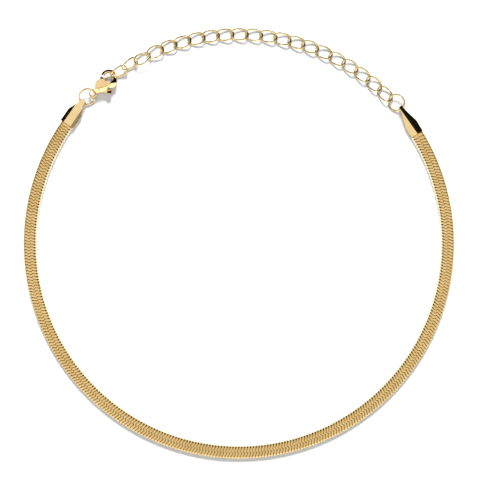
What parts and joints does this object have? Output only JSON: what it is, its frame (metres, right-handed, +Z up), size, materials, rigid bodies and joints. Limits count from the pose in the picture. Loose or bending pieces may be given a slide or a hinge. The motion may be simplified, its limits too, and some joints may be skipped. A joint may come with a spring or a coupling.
{
  "type": "herringbone chain necklace with extender and lobster clasp",
  "caption": "Flat herringbone neck chain in gold tone, lying closed in a circle, with crimped end caps, an oval-link extender and a lobster clasp.",
  "frame": {"origin": "middle of the loop, on the surface that the chain lies on", "axes": "+Z up out of that surface, +Y from the middle of the loop towards the extender; the clasp lies at the upper left as seen from above"},
  "size_m": [0.1464, 0.1464, 0.0036],
  "materials": {
    "satin_gold": "satin",
    "polished_gold": "polished"
  },
  "bodies": {
    "necklace": {"herringbone_band": "satin_gold", "end_cap_left": "polished_gold", "end_cap_right": "polished_gold", "jump_ring_left": "polished_gold", "jump_ring_right": "polished_gold", "clasp_body": "polished_gold", "link_01": "polished_gold", "link_02": "polished_gold", "link_03": "polished_gold", "link_04": "polished_gold", "link_05": "polished_gold", "link_06": "polished_gold", "link_07": "polished_gold", "link_08": "polished_gold", "link_09": "polished_gold", "link_10": "polished_gold", "link_11": "polished_gold", "link_12": "polished_gold", "link_13": "polished_gold", "link_14": "polished_gold", "link_15": "polished_gold", "link_16": "polished_gold", "link_17": "polished_gold", "link_18": "polished_gold", "link_19": "polished_gold", "link_20": "polished_gold", "link_21": "polished_gold"},
    "lever": {"clasp_lever": "polished_gold"}
  },
  "joints": [
    {"name": "lever_swing", "type": "hinge", "parent": "necklace", "child": "lever", "pos_m": [-0.0475, 0.052, 0.00166], "axis": [0, 0, -1], "range_deg": [0, 25], "stiffness_Nm_per_rad": 0.006, "springref_deg": -17.19}
  ]
}
